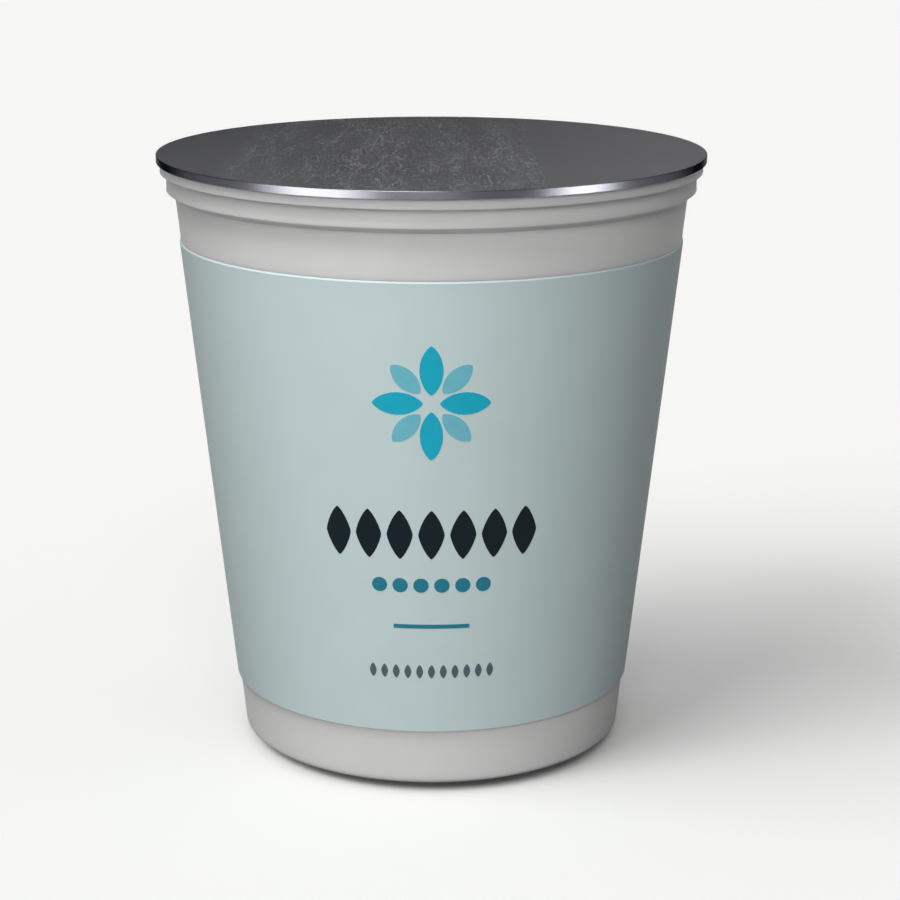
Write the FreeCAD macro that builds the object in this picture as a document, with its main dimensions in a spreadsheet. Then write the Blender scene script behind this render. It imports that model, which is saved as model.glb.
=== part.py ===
import FreeCAD, Part
import os
import Sketcher

# A tapered food cup shut with a foil-faced lid, with a label wrapped round its wall.
# Millimetres, +Z up. The origin is the middle of the foot ring, on the standing surface.
# Every piece is turned about Z. The cup stands for the filled pack, so it is solid inside.

SIZES = [
    ("rim_diameter", 95.0, "outside of the rim bead that carries the lid"),
    ("cup_height", 105.35, "standing surface to the top of the rim"),
    ("rim_height", 1.72, "depth of the rim bead"),
    ("shoulder_height", 3.11, "depth of the second bead"),
    ("shoulder_inset", 1.04, "second bead inside the rim bead, on the radius"),
    ("neck_height", 1.02, "depth of the sloping underside of the second bead"),
    ("neck_inset", 1.51, "top of the wall inside the second bead, on the radius"),
    ("bead_flare", 0.05, "how far each bead spreads towards its lower edge"),
    ("flare_height", 0.75, "height over which a bead spreads"),
    ("bead_round", 0.10, "rounding of each bead's lower edge"),
    ("wall_draft", 6.1, "taper of the wall, degrees from upright"),
    ("neck_band_height", 7.90, "bare wall between the beads and the label"),
    ("base_band_height", 10.25, "bare wall between the label and the heel"),
    ("base_inset", 0.20, "step of the wall under the label's lower edge"),
    ("heel_height", 1.60, "underside of the heel above the standing surface"),
    ("heel_round", 1.00, "rounding where the wall turns under"),
    ("foot_inset", 4.60, "foot ring inside the heel, on the radius"),
    ("foot_width", 2.20, "width of the foot ring"),
    ("foot_round", 0.40, "rounding of the foot ring's edges"),
    ("base_recess", 0.90, "panel inside the foot ring, above the heel's underside"),
    ("disc_diameter", 34.0, "disc in the middle of the underside panel"),
    ("disc_drop", 0.60, "how far the disc stands down from the panel"),
    ("gate_diameter", 3.00, "moulding mark in the middle of the disc"),
    ("gate_drop", 0.35, "how far the moulding mark stands down from the disc"),
    ("label_thickness", 0.27, "label, measured level"),
    ("label_edge_height", 0.50, "height over which the label's upper edge thins out to the wall"),
    ("lid_overhang", 0.60, "lid beyond the rim bead, on the radius"),
    ("lid_thickness", 1.35, "lid from its underside to its top"),
    ("lid_round", 0.12, "rounding of the lid's two edges"),
]
FULL_TURN = 360
NEARNESS = 1e-4  # radii and levels this close belong to the same edge

# Levels above the standing surface, and radii from the axis, as expressions on the sheet.
GROUND = "0"
AXIS = "0"
RIM_TOP = "sizes.cup_height"
RIM_LEVEL = f"({RIM_TOP} - sizes.rim_height)"
SHOULDER_LEVEL = f"({RIM_LEVEL} - sizes.shoulder_height)"
NECK_LEVEL = f"({SHOULDER_LEVEL} - sizes.neck_height)"
LABEL_TOP = f"({NECK_LEVEL} - sizes.neck_band_height)"
HEEL_LEVEL = "sizes.heel_height"
LABEL_BOTTOM = f"({HEEL_LEVEL} + sizes.base_band_height)"
PANEL_LEVEL = f"({HEEL_LEVEL} + sizes.base_recess)"
DISC_LEVEL = f"({PANEL_LEVEL} - sizes.disc_drop)"
GATE_LEVEL = f"({DISC_LEVEL} - sizes.gate_drop)"

RIM_RADIUS = "(sizes.rim_diameter / 2)"
SHOULDER_RADIUS = f"({RIM_RADIUS} - sizes.shoulder_inset)"
NECK_RADIUS = f"({SHOULDER_RADIUS} - sizes.neck_inset)"
DISC_RADIUS = "(sizes.disc_diameter / 2)"
GATE_RADIUS = "(sizes.gate_diameter / 2)"
LID_RADIUS = f"({RIM_RADIUS} + sizes.lid_overhang)"


def wall_radius(level):
    """Radius of the tapered wall that the label lies on."""
    return f"({NECK_RADIUS} - ({NECK_LEVEL} - {level}) * tan(sizes.wall_draft))"


def base_radius(level):
    """Radius of the wall below the label, which is stepped in."""
    return f"({wall_radius(level)} - sizes.base_inset)"


def label_radius(level):
    """Radius of the label's outside."""
    return f"({wall_radius(level)} + sizes.label_thickness)"


HEEL_RADIUS = base_radius(HEEL_LEVEL)
FOOT_OUTSIDE = f"({HEEL_RADIUS} - sizes.foot_inset)"
FOOT_INSIDE = f"({FOOT_OUTSIDE} - sizes.foot_width)"


def new_document():
    """The document, with its sheet of driving sizes."""
    document = FreeCAD.newDocument("foil_lidded_cup")
    sheet = document.addObject("Spreadsheet::Sheet", "sizes")
    for row, (alias, value, meaning) in enumerate(SIZES, 1):
        sheet.set(f"A{row}", alias)
        sheet.set(f"B{row}", str(value))
        sheet.set(f"C{row}", meaning)
        sheet.setAlias(f"B{row}", alias)
    document.recompute()
    return document


def new_body(document, label, level):
    """A sub-part whose own zero height stands at the given level."""
    body = document.addObject("PartDesign::Body", label)
    body.Label = label
    body.setExpression(".Placement.Base.z", level)
    return body


def fix_ordinate(sketch, corner, expression, kind, axis, name):
    """Holds one corner on an axis, or dimensions it from the origin by an expression."""
    if expression == AXIS:
        sketch.addConstraint(Sketcher.Constraint("PointOnObject", corner, 1, axis))
        return
    distance = sketch.evalExpression(expression)
    index = sketch.addConstraint(Sketcher.Constraint(kind, -1, 1, corner, 1, distance))
    sketch.renameConstraint(index, name)
    sketch.setExpression(f"Constraints.{name}", expression)


def half_section(body, name, corners):
    """A closed sketch beside the axis, through corners given as (name, radius, height).

    A corner that shares its radius or height with the one before is tied to it by an
    upright or a level side. Every other radius and height is a dimension of its own.
    """
    sketch = body.newObject("Sketcher::SketchObject", name)
    plane = next(feature for feature in body.Origin.OriginFeatures if feature.Role == "XZ_Plane")
    sketch.AttachmentSupport = (plane, "")
    sketch.MapMode = "FlatFace"
    points = [
        FreeCAD.Vector(body.evalExpression(radius), body.evalExpression(height), 0)
        for _, radius, height in corners
    ]
    for corner, point in enumerate(points):
        sketch.addGeometry(Part.LineSegment(point, points[(corner + 1) % len(points)]), False)
    for corner in range(len(corners)):
        following = (corner + 1) % len(corners)
        sketch.addConstraint(Sketcher.Constraint("Coincident", corner, 2, following, 1))
    for corner, (corner_name, radius, height) in enumerate(corners):
        _, last_radius, last_height = corners[corner - 1] if corner else (None, None, None)
        if radius == last_radius:
            sketch.addConstraint(Sketcher.Constraint("Vertical", corner - 1))
        else:
            fix_ordinate(sketch, corner, radius, "DistanceX", -2, f"{corner_name}_radius")
        if height == last_height:
            sketch.addConstraint(Sketcher.Constraint("Horizontal", corner - 1))
        else:
            fix_ordinate(sketch, corner, height, "DistanceY", -1, f"{corner_name}_level")
    return sketch


def turn(body, kind, name, corners):
    """A Revolution that adds, or a Groove that cuts, a half section turned about Z."""
    sketch = half_section(body, f"{name}_section", corners)
    feature = body.newObject(f"PartDesign::{kind}", name)
    feature.Profile = sketch
    feature.ReferenceAxis = (sketch, ["V_Axis"])
    feature.Angle = FULL_TURN
    body.Document.recompute()
    return feature


def ring_edges(feature, rings):
    """Names of the round edges that lie at the given (radius, level) pairs of a feature."""
    names = []
    for radius_expression, level_expression in rings:
        radius = feature.evalExpression(radius_expression)
        level = feature.evalExpression(level_expression)
        for number, edge in enumerate(feature.Shape.Edges, 1):
            if not isinstance(edge.Curve, Part.Circle):
                continue
            same_radius = abs(edge.Curve.Radius - radius) < NEARNESS
            same_level = abs(edge.Curve.Center.z - level) < NEARNESS
            if same_radius and same_level:
                names.append(f"Edge{number}")
    if len(names) != len(rings):
        raise RuntimeError(f"{feature.Name}: found {len(names)} of {len(rings)} edges to round")
    return names


def round_edges(body, name, feature, rings, radius):
    """Rounds the ring edges of the body's last feature."""
    fillet = body.newObject("PartDesign::Fillet", name)
    fillet.Base = (feature, ring_edges(feature, rings))
    fillet.setExpression("Radius", radius)
    body.Document.recompute()
    return fillet


def build_cup(document):
    """The filled cup: two beads, tapered wall, stepped base band, foot ring and recess."""
    body = new_body(document, "cup", GROUND)
    rim_wall = f"({RIM_RADIUS} - sizes.bead_flare)"
    rim_flare_top = f"({RIM_LEVEL} + sizes.flare_height)"
    shoulder_wall = f"({SHOULDER_RADIUS} - sizes.bead_flare)"
    shoulder_flare_top = f"({SHOULDER_LEVEL} + sizes.flare_height)"
    turn(body, "Revolution", "wall", [
        ("heel_centre", AXIS, HEEL_LEVEL),
        ("heel", HEEL_RADIUS, HEEL_LEVEL),
        ("base_band", base_radius(LABEL_BOTTOM), LABEL_BOTTOM),
        ("label_seat", wall_radius(LABEL_BOTTOM), LABEL_BOTTOM),
        ("neck", NECK_RADIUS, NECK_LEVEL),
        ("shoulder", SHOULDER_RADIUS, SHOULDER_LEVEL),
        ("shoulder_wall", shoulder_wall, shoulder_flare_top),
        ("rim_underside", shoulder_wall, RIM_LEVEL),
        ("rim", RIM_RADIUS, RIM_LEVEL),
        ("rim_wall", rim_wall, rim_flare_top),
        ("rim_top", rim_wall, RIM_TOP),
        ("top_centre", AXIS, RIM_TOP),
    ])
    turn(body, "Revolution", "foot_ring", [
        ("foot_inside", FOOT_INSIDE, GROUND),
        ("foot_outside", FOOT_OUTSIDE, GROUND),
        ("foot_root_outside", FOOT_OUTSIDE, HEEL_LEVEL),
        ("foot_root_inside", FOOT_INSIDE, HEEL_LEVEL),
    ])
    recess = turn(body, "Groove", "underside_recess", [
        ("gate_centre", AXIS, GATE_LEVEL),
        ("recess_floor", AXIS, GROUND),
        ("recess_edge", FOOT_INSIDE, GROUND),
        ("panel_edge", FOOT_INSIDE, PANEL_LEVEL),
        ("disc_root", DISC_RADIUS, PANEL_LEVEL),
        ("disc", DISC_RADIUS, DISC_LEVEL),
        ("gate_root", GATE_RADIUS, DISC_LEVEL),
        ("gate", GATE_RADIUS, GATE_LEVEL),
    ])
    beads = round_edges(body, "bead_edges", recess, [
        (RIM_RADIUS, RIM_LEVEL),
        (SHOULDER_RADIUS, SHOULDER_LEVEL),
    ], "sizes.bead_round")
    heel = round_edges(body, "heel_edge", beads, [(HEEL_RADIUS, HEEL_LEVEL)], "sizes.heel_round")
    round_edges(body, "foot_edges", heel, [
        (FOOT_OUTSIDE, GROUND),
        (FOOT_INSIDE, GROUND),
        (DISC_RADIUS, DISC_LEVEL),
    ], "sizes.foot_round")
    return body


def build_label(document):
    """The label, a thin tapered sleeve on the wall, square below and thinned out above."""
    body = new_body(document, "label", LABEL_BOTTOM)
    height = f"({LABEL_TOP} - {LABEL_BOTTOM})"
    edge_level = f"({LABEL_TOP} - sizes.label_edge_height)"
    turn(body, "Revolution", "sleeve", [
        ("lower_inside", wall_radius(LABEL_BOTTOM), GROUND),
        ("lower_outside", label_radius(LABEL_BOTTOM), GROUND),
        ("upper_outside", label_radius(edge_level), f"({height} - sizes.label_edge_height)"),
        ("upper_inside", wall_radius(LABEL_TOP), height),
    ])
    return body


def build_lid(document):
    """The foil-faced lid, a flat disc seated on the rim and overhanging it a little."""
    body = new_body(document, "foil_lid", RIM_TOP)
    disc = turn(body, "Revolution", "disc", [
        ("underside_centre", AXIS, GROUND),
        ("lower_edge", LID_RADIUS, GROUND),
        ("upper_edge", LID_RADIUS, "sizes.lid_thickness"),
        ("top_centre", AXIS, "sizes.lid_thickness"),
    ])
    round_edges(body, "lid_edges", disc, [
        (LID_RADIUS, GROUND),
        (LID_RADIUS, "sizes.lid_thickness"),
    ], "sizes.lid_round")
    return body


def check(document, bodies):
    """Stops the build if any object failed to compute or any sub-part isn't one valid solid."""
    for item in document.Objects:
        if "Invalid" in item.State or "Error" in item.State:
            raise RuntimeError(f"{item.Name} did not compute: {item.State}")
    for body in bodies:
        if body.Shape.isNull() or not body.Shape.isValid() or len(body.Shape.Solids) != 1:
            raise RuntimeError(f"{body.Label} is not one valid solid")


def main():
    document = new_document()
    bodies = [build_cup(document), build_label(document), build_lid(document)]
    document.recompute()
    check(document, bodies)
    os.makedirs("parts", exist_ok=True)
    for body in bodies:
        body.Shape.exportStep(f"parts/{body.Label}.step")
        box = body.Shape.optimalBoundingBox()
        print(f"{body.Label}: {body.Shape.Volume / 1000:.2f} cm3, radius {box.XMax:.2f}, "
              f"levels {box.ZMin:.2f} to {box.ZMax:.2f} mm")


main()
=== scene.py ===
import math

import bmesh
import bpy
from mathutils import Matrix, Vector


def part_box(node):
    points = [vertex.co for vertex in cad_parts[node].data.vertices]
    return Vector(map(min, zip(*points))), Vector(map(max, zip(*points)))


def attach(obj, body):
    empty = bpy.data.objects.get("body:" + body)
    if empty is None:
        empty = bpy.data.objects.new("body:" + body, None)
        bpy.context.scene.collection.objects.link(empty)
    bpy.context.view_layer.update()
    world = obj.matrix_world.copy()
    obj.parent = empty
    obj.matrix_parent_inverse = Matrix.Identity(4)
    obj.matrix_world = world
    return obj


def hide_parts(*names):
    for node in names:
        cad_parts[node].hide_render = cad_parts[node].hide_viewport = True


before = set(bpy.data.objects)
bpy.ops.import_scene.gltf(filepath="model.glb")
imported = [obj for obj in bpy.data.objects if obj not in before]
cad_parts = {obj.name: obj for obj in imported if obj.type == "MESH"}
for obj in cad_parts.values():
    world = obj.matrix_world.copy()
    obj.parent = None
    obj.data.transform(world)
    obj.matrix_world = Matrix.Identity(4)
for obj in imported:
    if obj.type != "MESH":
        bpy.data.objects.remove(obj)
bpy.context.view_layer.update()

MM = 0.001
# Points closer together than this are made one.
WELD = 0.001 * MM

# The levels that the solids give.
RIM_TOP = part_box("cup")[1].z / MM
LABEL_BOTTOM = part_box("label")[0].z / MM
LABEL_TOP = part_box("label")[1].z / MM
LID_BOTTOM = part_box("foil_lid")[0].z / MM
LID_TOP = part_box("foil_lid")[1].z / MM

# The cup's other sizes, from the rim down.
RIM_RADIUS = 47.5
RIM_HEIGHT = 1.72
SHOULDER_HEIGHT = 3.11
SHOULDER_INSET = 1.04
NECK_HEIGHT = 1.02
NECK_INSET = 1.51
BEAD_FLARE = 0.05
FLARE_HEIGHT = 0.75
FLARE_STEPS = 5
BEAD_ROUND = 0.10
WALL_TAPER = math.tan(math.radians(6.1))
BASE_INSET = 0.20
HEEL_LEVEL = 1.60
HEEL_ROUND = 1.00
FOOT_INSET = 4.60
FOOT_WIDTH = 2.20
FOOT_ROUND = 0.40
PANEL_LEVEL = 2.50
DISC_RADIUS = 17.0
DISC_LEVEL = 1.90
GATE_RADIUS = 1.50
GATE_LEVEL = 1.55

RIM_LEVEL = RIM_TOP - RIM_HEIGHT
SHOULDER_LEVEL = RIM_LEVEL - SHOULDER_HEIGHT
SHOULDER_RADIUS = RIM_RADIUS - SHOULDER_INSET
NECK_LEVEL = SHOULDER_LEVEL - NECK_HEIGHT
NECK_RADIUS = SHOULDER_RADIUS - NECK_INSET

# The label sleeve.
LABEL_THICKNESS = 0.27
LABEL_EDGE_HEIGHT = 0.25
LABEL_LIP = 0.13
LABEL_ROUND = 0.08

# The print on it: the size of each motif, then its row's copies, spacing and level.
INK_THICKNESS = 0.03
INK_STEP = 0.8
PETAL_POINTS = 24
# How far a petal's ends are drawn out; 0 would leave it an oval.
PETAL_POINTEDNESS = 0.5
PETALS_APART = 45
TEAL_PETAL = {"length": 8.4, "width": 3.9, "inner": 1.4}
PALE_PETAL = {"length": 6.6, "width": 3.3, "inner": 2.6}
ROSETTE_PLACE = {"copies": 1, "spacing": 0, "level": 71.2}
LOZENGE = {"width": 4.4, "height": 8.7, "points": 24, "power": 1.5}
LOZENGE_ROW = {"copies": 7, "spacing": 5.3, "level": 48.2}
BEAD = {"width": 2.6, "height": 2.6, "points": 24, "power": 1.0}
BEAD_ROW = {"copies": 6, "spacing": 3.5, "level": 39.1}
RULE_LENGTH = 12.8
RULE_WIDTH = 0.74
RULE_PLACE = {"copies": 1, "spacing": 0, "level": 31.6}
TICK = {"width": 1.2, "height": 2.5, "points": 16, "power": 1.3}
TICK_ROW = {"copies": 11, "spacing": 2.0, "level": 23.2}

# The lid.
LID_RADIUS = 48.1
LID_ROUND = 0.12
# Faces of the lid that look up less than this take the edge's finish, a darker copy of the foil that is
# painted shade.
EDGE_STEEPNESS = 0.98

# The lid's rubbed strip, between these two places across it, and how wide its sides fade.
RUBBED_FROM = -38.0
RUBBED_TO = 17.0
LEFT_FADE = 9.0
RIGHT_FADE = 2.5
# The straight mark along its right side: its place, how far out it starts to fade and is gone,
# and its strength.
MARK_PLACE = 14.0
MARK_CORE = 0.1
MARK_REACH = 0.5
MARK_STRENGTH = 0.12
# The scuffs: how far across a curl is, how much it twists, and its line's half width in noise.
SCUFFS = ((3.4, 1.6, 0.016), (1.9, 2.4, 0.022))
SCUFF_ROUGHENING = 0.12
# Marks are drawn out from front to back, as the foil was rolled.
ALONG_ROLLING = (1.0, 0.16, 1.0)

# Noise seldom leaves the range from low to high.
NOISE_LOW = 0.3
NOISE_HIGH = 0.7
NOISE_MIDDLE = 0.5
# Values that the finishes use more than once.
POLYPROPYLENE_IOR = 1.49
FOIL_GREY = "#B0B1B6"
FOIL_ROUGHNESS = 0.40
# The label's matt varnish, which lies over film and ink alike.
VARNISH = {"Roughness": 0.55, "IOR": POLYPROPYLENE_IOR, "Specular IOR Level": 0.15}

# How finely the turned pieces are divided, and the ring that a half section is turned on.
STEPS_AROUND = 256
STEPS_IN_ROUND = 5
SHARP_FOLD = math.radians(25)
RING_RADIUS = 1.0
# How far large faces outweigh small ones in shading, where 50 is even and 100 the most.
LARGE_FACES_FIRST = 100

# The camera looks along +Y and a little down. Its clips and the floor's half width are in metres.
CAMERA_DISTANCE = 411.0
CAMERA_HEIGHT = 162.3
CAMERA_PITCH = 15.0
CAMERA_LENS = 93.8
CAMERA_SHIFT = 0.0206
CLIP_NEAR = 0.01
CLIP_FAR = 20.0
FLOOR_HALF = 20.0

# Soft lamps far off: bearing from the front (left is negative), height and width in degrees,
# and strength, where pi lights a white surface that faces the lamp to full white.
LAMPS = {
    "front": (0, 35, 25, 1.0),
    "key": (-45, 70, 25, 1.0),
}
# Low lamps and lamps behind, for the cup and its label alone, as they would glare in the lid.
WALL_LAMPS = {
    "low_front": (0, 15, 25, 0.5),
    "low_left": (-30, 20, 25, 0.6),
    "back_left": (-160, 35, 40, 1.0),
    "back_right": (160, 35, 40, 1.0),
}
# Lamps for the floor alone, which draw the cup's broad soft shadow on it.
FLOOR_LAMPS = {
    "floor_front": (0, 45, 25, 0.4),
    "floor_left": (-50, 40, 35, 1.2),
    "floor_side": (-75, 50, 35, 0.8),
    "floor_sky": (0, 90, 150, 1.2),
}
# Lamps for the lid alone, which shine up past the floor and put the glints on its edge.
EDGE_LAMPS = {
    "glint_left": (-50, -25, 40, 14.0),
    "glint_right": (65, -15, 25, 6.0),
}
# A lamp behind the cup that sheens the lid's right side.
SHEEN_LAMPS = {
    "sheen": (160, 10, 35, 0.06),
}
# A lamp close over the cup's front: bearing, height, distance and width in millimetres, watts.
NEAR_LAMP = (-25, 65, 260, 120, 0.60)
# The level that every lamp points at.
LAMP_AIM = 75
ROOM_TONE = 0.015
# The floor as it is seen, which comes out nearly white in this light, and the tone it sends back.
FLOOR_SEEN = (1.0, 1.0, 0.985, 1.0)
FLOOR_BOUNCE = (0.1, 0.1, 0.1, 1.0)


# ---------------------------------------------------------------- small tools

def add(tree, kind, settings=(), inputs=()):
    """Adds a node with its settings, and with inputs as a dict by name or a tuple in their order."""
    node = tree.nodes.new(kind)
    for name, value in dict(settings).items():
        setattr(node, name, value)
    if isinstance(inputs, tuple):
        inputs = dict(enumerate(inputs))
    for key, value in inputs.items():
        feed(tree, value, node, key)
    return node


def feed(tree, value, node, key):
    """Gives an input of a node, by name or number, a value, a socket or another node."""
    if isinstance(key, str):
        socket = next(s for s in node.inputs if s.name == key and s.enabled)
    else:
        socket = node.inputs[key]
    if isinstance(value, bpy.types.Node):
        value = next(s for s in value.outputs if s.enabled)
    if isinstance(value, bpy.types.NodeSocket):
        tree.links.new(value, socket)
    else:
        socket.default_value = value


def new_tree(name, sizes):
    """A Geometry Nodes tree with a mesh in, a mesh out and named inputs of the types given."""
    tree = bpy.data.node_groups.new(name, "GeometryNodeTree")
    tree.interface.new_socket("Mesh", in_out="INPUT", socket_type="NodeSocketGeometry")
    tree.interface.new_socket("Mesh", in_out="OUTPUT", socket_type="NodeSocketGeometry")
    for label, kind in sizes.items():
        tree.interface.new_socket(label, in_out="INPUT", socket_type="NodeSocket" + kind)
    return tree, add(tree, "NodeGroupInput")


def colour(text):
    """A linear colour from sRGB hex."""
    shares = [int(text[i:i + 2], 16) / 255 for i in (1, 3, 5)]
    linear = [s / 12.92 if s <= 0.04045 else ((s + 0.055) / 1.055) ** 2.4 for s in shares]
    return (*linear, 1.0)


def wall_radius(level):
    """The tapered wall's radius at a level."""
    return NECK_RADIUS - (NECK_LEVEL - level) * WALL_TAPER


def label_radius(level):
    """The label's outside radius at a level."""
    return wall_radius(level) + LABEL_THICKNESS


# ---------------------------------------------------------------- finishes

def finish(name, sockets):
    """A named material with one Principled shader, as (material, tree, shader)."""
    material = bpy.data.materials.new(name)
    material.use_nodes = True
    tree = material.node_tree
    tree.nodes.clear()
    shader = add(tree, "ShaderNodeBsdfPrincipled", (), sockets)
    add(tree, "ShaderNodeOutputMaterial", (), {"Surface": shader})
    return material, tree, shader


def grain(tree, size, stretch=(1, 1, 1), detail=2.0, twist=0.0):
    """A fixed pattern on the piece itself, its features about size millimetres apart."""
    place = add(tree, "ShaderNodeTexCoord")
    scaled = add(tree, "ShaderNodeMapping", (), {"Vector": place.outputs["Object"], "Scale": stretch})
    return add(tree, "ShaderNodeTexNoise", (), {
        "Vector": scaled, "Scale": 1 / (size * MM), "Detail": detail, "Distortion": twist})


def moulded_polypropylene():
    """Moulded polypropylene: milky grey-white with a soft, broad shine from a fine mould texture."""
    # Light soaks a few millimetres into the milky plastic, which softens the creases' shadows.
    material, tree, shader = finish("moulded_polypropylene", {
        "Base Color": colour("#E2E2E1"), "Roughness": 0.45, "IOR": POLYPROPYLENE_IOR,
        "Specular IOR Level": 0.25, "Subsurface Weight": 1.0,
        "Subsurface Radius": (1.0, 1.0, 1.0), "Subsurface Scale": 3.0 * MM})
    # Flow marks of the moulding are about 14 mm apart and barely show.
    flow = add(tree, "ShaderNodeMapRange", (), {
        "Value": grain(tree, 14), "From Min": NOISE_LOW, "From Max": NOISE_HIGH})
    tone = add(tree, "ShaderNodeMix", {"data_type": "RGBA"}, {
        "Factor": flow, "A": colour("#E0E0DF"), "B": colour("#E4E4E3")})
    feed(tree, tone, shader, "Base Color")
    # The mould's texture is about 0.6 mm and only softens the shine.
    texture = add(tree, "ShaderNodeBump", (), {
        "Height": grain(tree, 0.6, detail=3.0), "Distance": 0.002 * MM})
    feed(tree, texture, shader, "Normal")
    return material


def printed_film():
    """Printed polypropylene film: even pale blue-grey under a matt varnish."""
    material, tree, shader = finish("printed_label_film", {"Base Color": colour("#CBDCDC"), **VARNISH})
    # The ink lies a little unevenly, in patches about 9 mm across.
    patches = add(tree, "ShaderNodeMapRange", (), {
        "Value": grain(tree, 9), "From Min": NOISE_LOW, "From Max": NOISE_HIGH})
    tone = add(tree, "ShaderNodeMix", {"data_type": "RGBA"}, {
        "Factor": patches, "A": colour("#CADBDB"), "B": colour("#CDDEDE")})
    feed(tree, tone, shader, "Base Color")
    # The varnish has a fine orange peel of about 0.9 mm.
    peel = add(tree, "ShaderNodeBump", (), {"Height": grain(tree, 0.9), "Distance": 0.003 * MM})
    feed(tree, peel, shader, "Normal")
    return material


def printing_ink(name, base):
    """Printing ink under the label's matt varnish: solid colour, the film's own soft shine."""
    material, tree, shader = finish(name, {"Base Color": colour(base), **VARNISH})
    # Ink density varies by a few parts in a hundred over 2 mm.
    density = add(tree, "ShaderNodeMapRange", (), {
        "Value": grain(tree, 2.0), "From Min": NOISE_LOW, "From Max": NOISE_HIGH,
        "To Min": 0.97, "To Max": 1.03})
    tone = add(tree, "ShaderNodeMix", {"data_type": "RGBA", "blend_type": "MULTIPLY"}, {
        "Factor": 1.0, "A": colour(base), "B": density})
    feed(tree, tone, shader, "Base Color")
    return material


def scuffed_foil():
    """Rolled aluminium foil under dull lacquer: satin grey, rubbed into fine pale scuffs."""
    material, tree, shader = finish("scuffed_lid_foil", {
        "Base Color": colour(FOIL_GREY), "Roughness": FOIL_ROUGHNESS, "Metallic": 1.0})
    place = add(tree, "ShaderNodeTexCoord")
    across = add(tree, "ShaderNodeSeparateXYZ", (), {"Vector": place.outputs["Object"]}).outputs["X"]
    # The rubbed strip runs from front to back; the foil on either side has stayed smooth.
    left_side = add(tree, "ShaderNodeMapRange", (), {
        "Value": across, "From Min": RUBBED_FROM * MM, "From Max": (RUBBED_FROM + LEFT_FADE) * MM})
    right_side = add(tree, "ShaderNodeMapRange", (), {
        "Value": across, "From Min": (RUBBED_TO + RIGHT_FADE) * MM, "From Max": RUBBED_TO * MM})
    rubbed = add(tree, "ShaderNodeMath", {"operation": "MULTIPLY"}, (left_side, right_side))
    # Scuffs are hair-fine curls about 2 and 3 mm across, drawn out along the rolling direction.
    lines = 0
    for size, twist, thin in SCUFFS:
        wander = grain(tree, size, ALONG_ROLLING, 3.0, twist)
        offset = add(tree, "ShaderNodeMath", {"operation": "SUBTRACT"}, (wander, NOISE_MIDDLE))
        off_line = add(tree, "ShaderNodeMath", {"operation": "ABSOLUTE"}, (offset,))
        curl = add(tree, "ShaderNodeMapRange", (), {
            "Value": off_line, "From Min": thin, "From Max": 0.0})
        lines = add(tree, "ShaderNodeMath", {"operation": "MAXIMUM"}, (lines, curl))
    # They lie nearly everywhere on the strip, and thicker in patches of about 5 mm.
    patches = add(tree, "ShaderNodeMapRange", (), {
        "Value": grain(tree, 5.0, ALONG_ROLLING, 3.0, 0.4), "From Min": 0.35, "From Max": 0.70,
        "To Min": 0.25, "To Max": 0.9})
    patchy = add(tree, "ShaderNodeMath", {"operation": "MULTIPLY"}, (lines, patches))
    scuffs = add(tree, "ShaderNodeMath", {"operation": "MULTIPLY"}, (patchy, rubbed))
    # A faint straight mark lies along the strip's right side, 1 mm wide with faded sides.
    beside = add(tree, "ShaderNodeMath", {"operation": "SUBTRACT"}, (across, MARK_PLACE * MM))
    off_mark = add(tree, "ShaderNodeMath", {"operation": "ABSOLUTE"}, (beside,))
    mark = add(tree, "ShaderNodeMapRange", (), {
        "Value": off_mark, "From Min": MARK_REACH * MM, "From Max": MARK_CORE * MM,
        "To Min": 0.0, "To Max": MARK_STRENGTH})
    marks = add(tree, "ShaderNodeMath", {"operation": "MAXIMUM"}, (scuffs, mark))
    # Larger clouds, 7 mm across, where the lacquer is thinner or thicker.
    cloudy = add(tree, "ShaderNodeMapRange", (), {
        "Value": grain(tree, 7.0, ALONG_ROLLING, 4.0, 0.6), "From Min": 0.35, "From Max": 0.68})
    clouds = add(tree, "ShaderNodeMath", {"operation": "MULTIPLY"}, (cloudy, rubbed))
    lacquer = add(tree, "ShaderNodeMix", {"data_type": "RGBA"}, {
        "Factor": clouds, "A": colour(FOIL_GREY), "B": colour("#A4A5AA")})
    tone = add(tree, "ShaderNodeMix", {"data_type": "RGBA"}, {
        "Factor": marks, "A": lacquer, "B": colour("#F2F4F8")})
    feed(tree, tone, shader, "Base Color")
    rougher = add(tree, "ShaderNodeMath", {"operation": "MULTIPLY"}, (marks, SCUFF_ROUGHENING))
    roughness = add(tree, "ShaderNodeMath", {"operation": "ADD"}, (FOIL_ROUGHNESS, rougher))
    feed(tree, roughness, shader, "Roughness")
    raised = add(tree, "ShaderNodeBump", (), {"Height": marks, "Distance": 0.002 * MM})
    feed(tree, raised, shader, "Normal")
    return material


def edge_foil_painted_dark():
    """The foil's rolled rim and underside, painted a darker grey than the face with a dark grazing
    tint, as painted shade; fine lines run round it and draw highlights out.
    """
    # The dark grey base and dark grazing tint are painted shade, standing in for the dark reflections
    # along the edge.
    material, tree, shader = finish("lid_edge_painted_dark", {
        "Base Color": colour("#6A6B70"), "Roughness": 0.35, "Metallic": 1.0, "Anisotropic": 0.9,
        "Anisotropic Rotation": 0.25, "Specular Tint": colour("#5A5A5A")})
    # The roll varies along the edge every 5 mm.
    wear = add(tree, "ShaderNodeMapRange", (), {
        "Value": grain(tree, 5.0), "From Min": NOISE_LOW, "From Max": NOISE_HIGH,
        "To Min": 0.33, "To Max": 0.38})
    feed(tree, wear, shader, "Roughness")
    # Lines about 0.15 mm apart run round the edge.
    lines = grain(tree, 0.15, (0.05, 0.05, 1.0))
    raised = add(tree, "ShaderNodeBump", (), {"Height": lines, "Distance": 0.002 * MM})
    feed(tree, raised, shader, "Normal")
    return material


# ---------------------------------------------------------------- turned pieces

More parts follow.
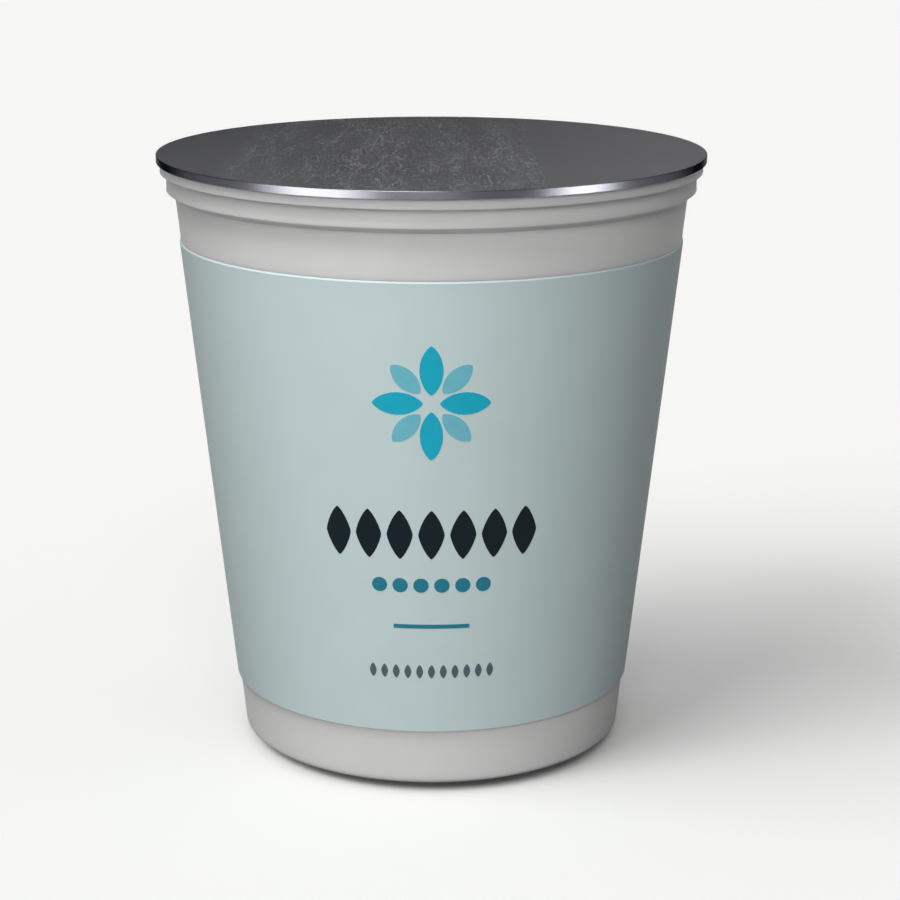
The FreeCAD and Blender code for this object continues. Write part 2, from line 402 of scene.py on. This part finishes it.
def lathe_tree():
    """Rounds the corners of a half section and turns it once round the axis."""
    tree, given = new_tree("turned on the axis", {
        "Steps Around": "Int", "Steps In Round": "Int", "Finish": "Material"})
    section = add(tree, "GeometryNodeMeshToCurve", (), {"Mesh": given.outputs["Mesh"]})
    corner = add(tree, "GeometryNodeInputNamedAttribute", {"data_type": "FLOAT"}, {"Name": "corner"})
    rounded = add(tree, "GeometryNodeFilletCurve", {"mode": "POLY"}, {
        "Curve": section, "Radius": corner, "Count": given.outputs["Steps In Round"],
        "Limit Radius": True})
    ring = add(tree, "GeometryNodeCurvePrimitiveCircle", (), {
        "Resolution": given.outputs["Steps Around"], "Radius": RING_RADIUS * MM})
    level = add(tree, "GeometryNodeSetCurveNormal", {"mode": "Z_UP"}, {"Curve": ring})
    turned = add(tree, "GeometryNodeCurveToMesh", (), {"Curve": level, "Profile Curve": rounded})
    outward = add(tree, "GeometryNodeFlipFaces", (), {"Mesh": turned})
    closed = add(tree, "GeometryNodeMergeByDistance", (), {"Geometry": outward, "Distance": WELD})
    smooth = add(tree, "GeometryNodeSetShadeSmooth", (), {"Geometry": closed})
    angle = add(tree, "GeometryNodeInputMeshEdgeAngle")
    fold = add(tree, "ShaderNodeMath", {"operation": "GREATER_THAN"}, (angle, SHARP_FOLD))
    crisp = add(tree, "GeometryNodeSetShadeSmooth", {"domain": "EDGE"}, {
        "Geometry": smooth, "Selection": fold, "Shade Smooth": False})
    real = add(tree, "GeometryNodeRealizeInstances", (), {"Geometry": crisp})
    painted = add(tree, "GeometryNodeSetMaterial", (), {
        "Geometry": real, "Material": given.outputs["Finish"]})
    add(tree, "NodeGroupOutput", (), {"Mesh": painted})
    return tree


def grow(name, mesh, tree, values):
    """Runs a tree on a mesh and keeps the result as a plain mesh object."""
    maker = bpy.data.objects.new(name + "_maker", mesh)
    bpy.context.scene.collection.objects.link(maker)
    modifier = maker.modifiers.new("maker", "NODES")
    modifier.node_group = tree
    sockets = {s.name: s.identifier for s in tree.interface.items_tree if s.in_out == "INPUT"}
    for label, value in values.items():
        modifier[sockets[label]] = value
    # Large flat faces keep their own shading beside small rounded corners.
    even = maker.modifiers.new("even shading", "WEIGHTED_NORMAL")
    even.weight = LARGE_FACES_FIRST
    even.keep_sharp = True
    shown = maker.evaluated_get(bpy.context.evaluated_depsgraph_get())
    made = bpy.data.objects.new(name, bpy.data.meshes.new_from_object(shown))
    made.data.name = name
    bpy.context.scene.collection.objects.link(made)
    bpy.data.objects.remove(maker)
    return made


def half_section(name, corners, closed=False):
    """A line of (radius, level, corner round) in millimetres as a mesh of edges."""
    mesh = bpy.data.meshes.new(name)
    # Radii count from the ring that the section is turned on, and turning it turns levels over.
    points = [((radius - RING_RADIUS) * MM, -level * MM, 0) for radius, level, _ in corners]
    edges = [(i, i + 1) for i in range(len(points) - 1)]
    if closed:
        edges.append((len(points) - 1, 0))
    mesh.from_pydata(points, edges, [])
    rounds = mesh.attributes.new("corner", "FLOAT", "POINT")
    rounds.data.foreach_set("value", [size * MM for _, _, size in corners])
    return mesh


def turn(name, corners, material, closed=False):
    """A piece turned from its half section, which is listed from its lowest inner corner round."""
    return grow(name, half_section(name, corners, closed), lathe, {
        "Steps Around": STEPS_AROUND, "Steps In Round": STEPS_IN_ROUND, "Finish": material})


def bead(radius, bottom, top):
    """A bead's wall from the bottom up, flaring out by a smooth curve towards its lower edge."""
    wall = [(radius, bottom, BEAD_ROUND)]
    for step in range(1, FLARE_STEPS + 1):
        share = step / FLARE_STEPS
        wall.append((radius - BEAD_FLARE * (1 - (1 - share) ** 2), bottom + FLARE_HEIGHT * share, 0))
    wall.append((radius - BEAD_FLARE, top, 0))
    return wall


def make_cup(material):
    """The moulded cup, closed under its lid."""
    heel = wall_radius(HEEL_LEVEL) - BASE_INSET
    foot = heel - FOOT_INSET
    return turn("moulded_cup", [
        (0, GATE_LEVEL, 0),
        (GATE_RADIUS, GATE_LEVEL, 0),
        (GATE_RADIUS, DISC_LEVEL, 0),
        (DISC_RADIUS, DISC_LEVEL, FOOT_ROUND),
        (DISC_RADIUS, PANEL_LEVEL, 0),
        (foot - FOOT_WIDTH, PANEL_LEVEL, 0),
        (foot - FOOT_WIDTH, 0, FOOT_ROUND),
        (foot, 0, FOOT_ROUND),
        (foot, HEEL_LEVEL, 0),
        (heel, HEEL_LEVEL, HEEL_ROUND),
        (wall_radius(LABEL_BOTTOM) - BASE_INSET, LABEL_BOTTOM, 0),
        (wall_radius(LABEL_BOTTOM), LABEL_BOTTOM, 0),
        (wall_radius(NECK_LEVEL), NECK_LEVEL, 0),
        *bead(SHOULDER_RADIUS, SHOULDER_LEVEL, RIM_LEVEL),
        *bead(RIM_RADIUS, RIM_LEVEL, RIM_TOP),
        (0, RIM_TOP, 0),
    ], material)


def make_label(material):
    """The label sleeve: square below, thinned out above."""
    edge = LABEL_TOP - LABEL_EDGE_HEIGHT
    return turn("label_sleeve", [
        (wall_radius(LABEL_BOTTOM), LABEL_BOTTOM, 0),
        (label_radius(LABEL_BOTTOM), LABEL_BOTTOM, LABEL_ROUND),
        (label_radius(edge), edge, LABEL_ROUND),
        (wall_radius(LABEL_TOP) + LABEL_LIP, LABEL_TOP, 0),
        (wall_radius(LABEL_TOP), LABEL_TOP, 0),
    ], material, closed=True)


def make_lid(face, edge):
    """The foil-faced lid disc, with its edge and underside in the second finish, a darker copy of the
    foil that is painted shade.
    """
    lid = turn("foil_lid_disc", [
        (0, LID_BOTTOM, 0),
        (LID_RADIUS, LID_BOTTOM, LID_ROUND),
        (LID_RADIUS, LID_TOP, LID_ROUND),
        (0, LID_TOP, 0),
    ], face)
    lid.data.materials.append(edge)
    for side in lid.data.polygons:
        # The side and underside take the darker finish, which is painted shade.
        side.material_index = int(side.normal.z < EDGE_STEEPNESS)
    return lid


# ---------------------------------------------------------------- the print

def print_tree():
    """Lays a row of flat motifs on the label, front and back, as thin raised ink."""
    tree, given = new_tree("printed on the label", {
        "Copies": "Int", "Spacing": "Float", "Level": "Float", "Thickness": "Float",
        "Neck Radius": "Float", "Neck Level": "Float", "Taper": "Float", "Finish": "Material"})
    sizes = given.outputs
    gaps = add(tree, "ShaderNodeMath", {"operation": "SUBTRACT"}, (sizes["Copies"], 1))
    width = add(tree, "ShaderNodeMath", {"operation": "MULTIPLY"}, (gaps, sizes["Spacing"]))
    start = add(tree, "ShaderNodeMath", {"operation": "MULTIPLY"}, (width, -0.5))
    row = add(tree, "GeometryNodeMeshLine", (), {
        "Count": sizes["Copies"],
        "Start Location": add(tree, "ShaderNodeCombineXYZ", (), {"X": start}),
        "Offset": add(tree, "ShaderNodeCombineXYZ", (), {"X": sizes["Spacing"]})})
    copies = add(tree, "GeometryNodeInstanceOnPoints", (), {"Points": row, "Instance": sizes["Mesh"]})
    flat = add(tree, "GeometryNodeRealizeInstances", (), {"Geometry": copies})
    raised = add(tree, "GeometryNodeExtrudeMesh", {"mode": "FACES"}, {
        "Mesh": flat, "Offset Scale": sizes["Thickness"], "Individual": False})
    under = add(tree, "GeometryNodeFlipFaces", (), {"Mesh": flat})
    shell = add(tree, "GeometryNodeJoinGeometry", (), {"Geometry": raised.outputs["Mesh"]})
    feed(tree, under, shell, "Geometry")
    solid = add(tree, "GeometryNodeMergeByDistance", (), {"Geometry": shell, "Distance": WELD})
    # X runs round the label, Y straight up and Z out from it.
    place = add(tree, "ShaderNodeSeparateXYZ", (), {"Vector": add(tree, "GeometryNodeInputPosition")})
    level = add(tree, "ShaderNodeMath", {"operation": "ADD"}, (place.outputs["Y"], sizes["Level"]))
    # The label's radius where each point lies.
    below = add(tree, "ShaderNodeMath", {"operation": "SUBTRACT"}, (sizes["Neck Level"], level))
    inset = add(tree, "ShaderNodeMath", {"operation": "MULTIPLY"}, (below, sizes["Taper"]))
    wall = add(tree, "ShaderNodeMath", {"operation": "SUBTRACT"}, (sizes["Neck Radius"], inset))
    radius = add(tree, "ShaderNodeMath", {"operation": "ADD"}, (wall, place.outputs["Z"]))
    # Its radius at the row's own level, which turns a width into an angle.
    row_below = add(tree, "ShaderNodeMath", {"operation": "SUBTRACT"}, (
        sizes["Neck Level"], sizes["Level"]))
    row_inset = add(tree, "ShaderNodeMath", {"operation": "MULTIPLY"}, (row_below, sizes["Taper"]))
    girth = add(tree, "ShaderNodeMath", {"operation": "SUBTRACT"}, (sizes["Neck Radius"], row_inset))
    bearing = add(tree, "ShaderNodeMath", {"operation": "DIVIDE"}, (place.outputs["X"], girth))
    sine = add(tree, "ShaderNodeMath", {"operation": "SINE"}, (bearing,))
    cosine = add(tree, "ShaderNodeMath", {"operation": "COSINE"}, (bearing,))
    forward = add(tree, "ShaderNodeMath", {"operation": "MULTIPLY"}, (cosine, -1))
    wrapped = add(tree, "GeometryNodeSetPosition", (), {
        "Geometry": solid,
        "Position": add(tree, "ShaderNodeCombineXYZ", (), {
            "X": add(tree, "ShaderNodeMath", {"operation": "MULTIPLY"}, (radius, sine)),
            "Y": add(tree, "ShaderNodeMath", {"operation": "MULTIPLY"}, (radius, forward)),
            "Z": level})})
    behind = add(tree, "GeometryNodeTransform", (), {
        "Geometry": wrapped, "Rotation": (0, 0, math.pi)})
    both = add(tree, "GeometryNodeJoinGeometry", (), {"Geometry": wrapped})
    feed(tree, behind, both, "Geometry")
    real = add(tree, "GeometryNodeRealizeInstances", (), {"Geometry": both})
    painted = add(tree, "GeometryNodeSetMaterial", (), {"Geometry": real, "Material": sizes["Finish"]})
    add(tree, "NodeGroupOutput", (), {"Mesh": painted})
    return tree


def motif(name, outlines):
    """Flat shapes from their outlines in millimetres, cut into upright strips so that they can bend."""
    shape = bmesh.new()
    for outline in outlines:
        shape.faces.new([shape.verts.new((x * MM, y * MM, 0)) for x, y in outline])
    reach = max(abs(x) for outline in outlines for x, _ in outline)
    for step in range(-int(reach / INK_STEP), int(reach / INK_STEP) + 1):
        everything = [*shape.verts, *shape.edges, *shape.faces]
        bmesh.ops.bisect_plane(shape, geom=everything, plane_co=(step * INK_STEP * MM, 0, 0),
                               plane_no=(1, 0, 0))
    mesh = bpy.data.meshes.new(name)
    shape.to_mesh(mesh)
    shape.free()
    return mesh


def oval(width, height, points, power):
    """An oval outline; a power above 1 draws its ends out to points."""
    outline = []
    for step in range(points):
        angle = 2 * math.pi * step / points
        across, up = math.cos(angle), math.sin(angle)
        outline.append((width / 2 * math.copysign(abs(across) ** power, across),
                        height / 2 * math.copysign(abs(up) ** power, up)))
    return outline


def petal(length, width, inner, bearing):
    """A pointed petal that starts inner millimetres out and points along a bearing in degrees."""
    turn_by = math.radians(bearing)
    outline = []
    for step in range(PETAL_POINTS):
        angle = 2 * math.pi * step / PETAL_POINTS
        along = inner + length / 2 + length / 2 * math.cos(angle)
        across = width / 2 * math.sin(angle) * abs(math.sin(angle)) ** PETAL_POINTEDNESS
        outline.append((along * math.cos(turn_by) - across * math.sin(turn_by),
                        along * math.sin(turn_by) + across * math.cos(turn_by)))
    return outline


def bar(length, width):
    """A straight bar's outline."""
    return [(-length / 2, -width / 2), (length / 2, -width / 2),
            (length / 2, width / 2), (-length / 2, width / 2)]


def stamp(name, shape, ink, copies, spacing, level):
    """A row of printed motifs on the label."""
    return grow(name, shape, printer, {
        "Copies": copies, "Spacing": spacing * MM, "Level": level * MM,
        "Thickness": INK_THICKNESS * MM, "Neck Radius": (NECK_RADIUS + LABEL_THICKNESS) * MM,
        "Neck Level": NECK_LEVEL * MM, "Taper": WALL_TAPER, "Finish": ink})


def make_print():
    """The label's print: a rosette, three rows and a rule."""
    teal = printing_ink("teal_ink", "#21B0CB")
    pale_teal = printing_ink("pale_teal_ink", "#73BFCF")
    deep_teal = printing_ink("deep_teal_ink", "#2C7F95")
    navy = printing_ink("navy_ink", "#08181E")
    slate = printing_ink("slate_ink", "#56666D")
    # Teal and pale petals take turns round the rosette.
    bearings = range(0, 360, PETALS_APART)
    teal_petals = [petal(**TEAL_PETAL, bearing=b) for b in bearings[::2]]
    pale_petals = [petal(**PALE_PETAL, bearing=b) for b in bearings[1::2]]
    return [
        stamp("rosette_teal_petals", motif("rosette_teal", teal_petals), teal, **ROSETTE_PLACE),
        stamp("rosette_pale_petals", motif("rosette_pale", pale_petals), pale_teal, **ROSETTE_PLACE),
        stamp("lozenge_row", motif("lozenge", [oval(**LOZENGE)]), navy, **LOZENGE_ROW),
        stamp("bead_row", motif("bead", [oval(**BEAD)]), deep_teal, **BEAD_ROW),
        stamp("rule", motif("rule", [bar(RULE_LENGTH, RULE_WIDTH)]), deep_teal, **RULE_PLACE),
        stamp("tick_row", motif("tick", [oval(**TICK)]), slate, **TICK_ROW),
    ]


# ---------------------------------------------------------------- the object

lathe = lathe_tree()
printer = print_tree()

cup = make_cup(moulded_polypropylene())
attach(cup, "root")
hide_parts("cup")

label = make_label(printed_film())
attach(label, "root")
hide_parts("label")

lid = make_lid(scuffed_foil(), edge_foil_painted_dark())
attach(lid, "root")
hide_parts("foil_lid")

print_pieces = make_print()
for ink_piece in print_pieces:
    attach(ink_piece, "root")


# ---------------------------------------------------------------- floor, light and camera

def make_floor():
    """A plain pale floor."""
    mesh = bpy.data.meshes.new("floor")
    corners = [(-FLOOR_HALF, -FLOOR_HALF, 0), (FLOOR_HALF, -FLOOR_HALF, 0),
               (FLOOR_HALF, FLOOR_HALF, 0), (-FLOOR_HALF, FLOOR_HALF, 0)]
    mesh.from_pydata(corners, [], [(0, 1, 2, 3)])
    floor = bpy.data.objects.new("floor", mesh)
    bpy.context.scene.collection.objects.link(floor)
    material = bpy.data.materials.new("pale_floor")
    material.use_nodes = True
    tree = material.node_tree
    tree.nodes.clear()
    # The floor shows nearly white with the cup's shadow on it, and sends little light back up.
    ray = add(tree, "ShaderNodeLightPath").outputs
    mirrored = add(tree, "ShaderNodeMath", {"operation": "MAXIMUM"}, (
        ray["Is Glossy Ray"], ray["Is Transmission Ray"]))
    seen = add(tree, "ShaderNodeMath", {"operation": "MAXIMUM"}, (ray["Is Camera Ray"], mirrored))
    tone = add(tree, "ShaderNodeMix", {"data_type": "RGBA"}, {
        "Factor": seen, "A": FLOOR_BOUNCE, "B": FLOOR_SEEN})
    matt = add(tree, "ShaderNodeBsdfDiffuse", (), {"Color": tone})
    add(tree, "ShaderNodeOutputMaterial", (), {"Surface": matt})
    mesh.materials.append(material)
    return floor


def group(name, pieces):
    """A collection of pieces, to link lamps to."""
    collection = bpy.data.collections.new(name)
    for piece in pieces:
        collection.objects.link(piece)
    return collection


def hang_lamp(name, kind, bearing, height, distance=1.0):
    """A lamp that points at the cup from a bearing and a height, as (lamp, its settings)."""
    data = bpy.data.lights.new(name, kind)
    lamp = bpy.data.objects.new(name, data)
    bearing, height = math.radians(bearing), math.radians(height)
    way = Vector((math.sin(bearing) * math.cos(height), -math.cos(bearing) * math.cos(height),
                  math.sin(height)))
    lamp.location = way * distance + Vector((0, 0, LAMP_AIM * MM))
    lamp.rotation_mode = "QUATERNION"
    lamp.rotation_quaternion = way.to_track_quat("Z", "Y")
    bpy.context.scene.collection.objects.link(lamp)
    return lamp, data


def only_on(lamp, pieces):
    """Lets a lamp light these pieces and nothing else."""
    lamp.light_linking.receiver_collection = group(lamp.name + "_lights", pieces)


def hang_suns(lamps, pieces):
    """Soft far lamps for these pieces only."""
    suns = []
    for name, (bearing, height, width, strength) in lamps.items():
        lamp, data = hang_lamp(name, "SUN", bearing, height)
        data.angle = math.radians(width)
        data.energy = strength
        only_on(lamp, pieces)
        suns.append(lamp)
    return suns


def light_room():
    """Soft lamps and a dim even room."""
    walls = [cup, label, *print_pieces]
    hang_suns(LAMPS, [lid, *walls])
    hang_suns(WALL_LAMPS, walls)
    hang_suns(FLOOR_LAMPS, [floor])
    hang_suns(SHEEN_LAMPS, [lid])
    for lamp in hang_suns(EDGE_LAMPS, [lid]):
        lamp.light_linking.blocker_collection = group(lamp.name + "_shades", [lid, cup])
    bearing, height, distance, width, power = NEAR_LAMP
    lamp, data = hang_lamp("near", "AREA", bearing, height, distance * MM)
    data.shape = "DISK"
    data.size = width * MM
    data.energy = power
    only_on(lamp, [lid, *walls])
    world = bpy.data.worlds.new("studio")
    world.use_nodes = True
    world.node_tree.nodes["Background"].inputs["Color"].default_value = (1, 1, 1, 1)
    world.node_tree.nodes["Background"].inputs["Strength"].default_value = ROOM_TONE
    bpy.context.scene.world = world


def place_camera():
    """The camera in front of the cup."""
    data = bpy.data.cameras.new("camera")
    data.lens = CAMERA_LENS
    data.shift_x = CAMERA_SHIFT
    data.clip_start = CLIP_NEAR
    data.clip_end = CLIP_FAR
    camera = bpy.data.objects.new("camera", data)
    camera.location = (0, -CAMERA_DISTANCE * MM, CAMERA_HEIGHT * MM)
    camera.rotation_euler = (math.radians(90 - CAMERA_PITCH), 0, 0)
    bpy.context.scene.collection.objects.link(camera)
    bpy.context.scene.camera = camera


floor = make_floor()
light_room()
place_camera()
bpy.context.scene.view_settings.view_transform = "Standard"
